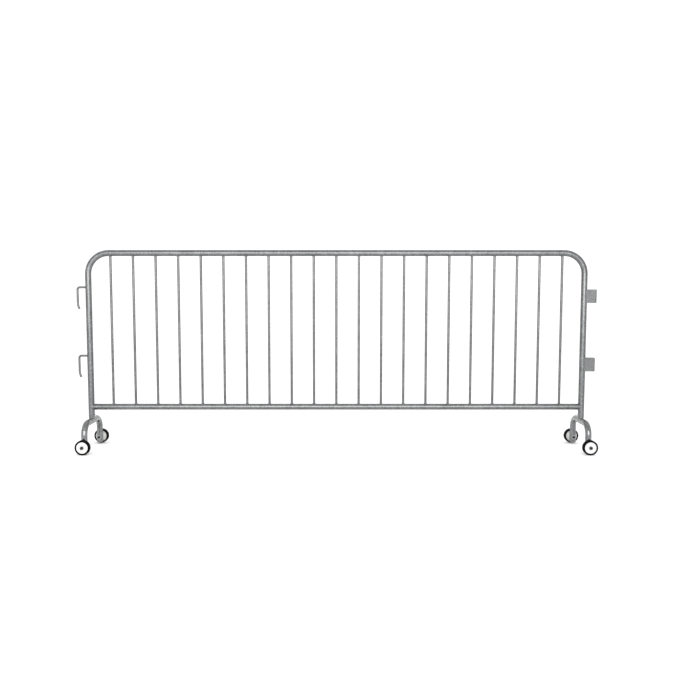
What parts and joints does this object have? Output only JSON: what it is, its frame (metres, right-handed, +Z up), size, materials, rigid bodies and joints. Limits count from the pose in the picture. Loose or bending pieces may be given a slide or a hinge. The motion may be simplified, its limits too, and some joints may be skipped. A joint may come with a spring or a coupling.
{
  "type": "crowd control barrier",
  "caption": "Steel crowd control barrier: bent tube frame with vertical bars, end hooks and receivers, on bridge feet with small wheels.",
  "frame": {"origin": "middle of the barrier on the ground: halfway between the posts and between the front and rear wheels", "axes": "+X along the barrier from the hooks to the receivers, -Y towards the front, +Z up"},
  "size_m": [2.684, 0.3722, 1.035],
  "materials": {
    "galvanised_steel": "hot-dip galvanised, satin grey with a fine spangle",
    "black_fastener": "black oxide steel, satin",
    "zinc_fastener": "bright zinc plating",
    "tyre_rubber": "black rubber, matt",
    "hub_plastic": "moulded white nylon, satin",
    "bush_metal": "oiled sintered bronze, dull"
  },
  "bodies": {
    "frame": {"frame_tube": "galvanised_steel", "bottom_rail": "galvanised_steel", "upper_hook": "galvanised_steel", "lower_hook": "galvanised_steel", "upper_receiver": "galvanised_steel", "lower_receiver": "galvanised_steel", "upright_01": "galvanised_steel", "upright_02": "galvanised_steel", "upright_03": "galvanised_steel", "upright_04": "galvanised_steel", "upright_05": "galvanised_steel", "upright_06": "galvanised_steel", "upright_07": "galvanised_steel", "upright_08": "galvanised_steel", "upright_09": "galvanised_steel", "upright_10": "galvanised_steel", "upright_11": "galvanised_steel", "upright_12": "galvanised_steel", "upright_13": "galvanised_steel", "upright_14": "galvanised_steel", "upright_15": "galvanised_steel", "upright_16": "galvanised_steel", "upright_17": "galvanised_steel", "upright_18": "galvanised_steel", "upright_19": "galvanised_steel", "upright_20": "galvanised_steel", "upright_21": "galvanised_steel", "left_foot_bridge": "galvanised_steel", "left_foot_spigot": "galvanised_steel", "left_foot_screw": "zinc_fastener", "right_foot_bridge": "galvanised_steel", "right_foot_spigot": "galvanised_steel", "right_foot_screw": "zinc_fastener", "front_left_axle_bolt": "black_fastener", "front_left_spacer": "zinc_fastener", "front_left_lock_nut": "black_fastener", "front_right_axle_bolt": "black_fastener", "front_right_spacer": "zinc_fastener", "front_right_lock_nut": "black_fastener", "rear_left_axle_bolt": "black_fastener", "rear_left_spacer": "zinc_fastener", "rear_left_lock_nut": "black_fastener", "rear_right_axle_bolt": "black_fastener", "rear_right_spacer": "zinc_fastener", "rear_right_lock_nut": "black_fastener", "axle_head_washers": "zinc_fastener", "axle_nut_washers": "zinc_fastener"},
    "front_left_wheel": {"front_left_hub": "hub_plastic", "front_left_tyre": "tyre_rubber", "front_left_bush": "bush_metal"},
    "front_right_wheel": {"front_right_hub": "hub_plastic", "front_right_tyre": "tyre_rubber", "front_right_bush": "bush_metal"},
    "rear_left_wheel": {"rear_left_hub": "hub_plastic", "rear_left_tyre": "tyre_rubber", "rear_left_bush": "bush_metal"},
    "rear_right_wheel": {"rear_right_hub": "hub_plastic", "rear_right_tyre": "tyre_rubber", "rear_right_bush": "bush_metal"}
  },
  "joints": [
    {"name": "front_left_wheel_spin", "type": "hinge", "parent": "frame", "child": "front_left_wheel", "pos_m": [-1.2795, -0.1615, 0.0381], "axis": [0, 1, 0], "continuous": true},
    {"name": "front_right_wheel_spin", "type": "hinge", "parent": "frame", "child": "front_right_wheel", "pos_m": [1.2795, -0.1615, 0.0381], "axis": [0, 1, 0], "continuous": true},
    {"name": "rear_left_wheel_spin", "type": "hinge", "parent": "frame", "child": "rear_left_wheel", "pos_m": [-1.2795, 0.1615, 0.0381], "axis": [0, 1, 0], "continuous": true},
    {"name": "rear_right_wheel_spin", "type": "hinge", "parent": "frame", "child": "rear_right_wheel", "pos_m": [1.2795, 0.1615, 0.0381], "axis": [0, 1, 0], "continuous": true}
  ]
}
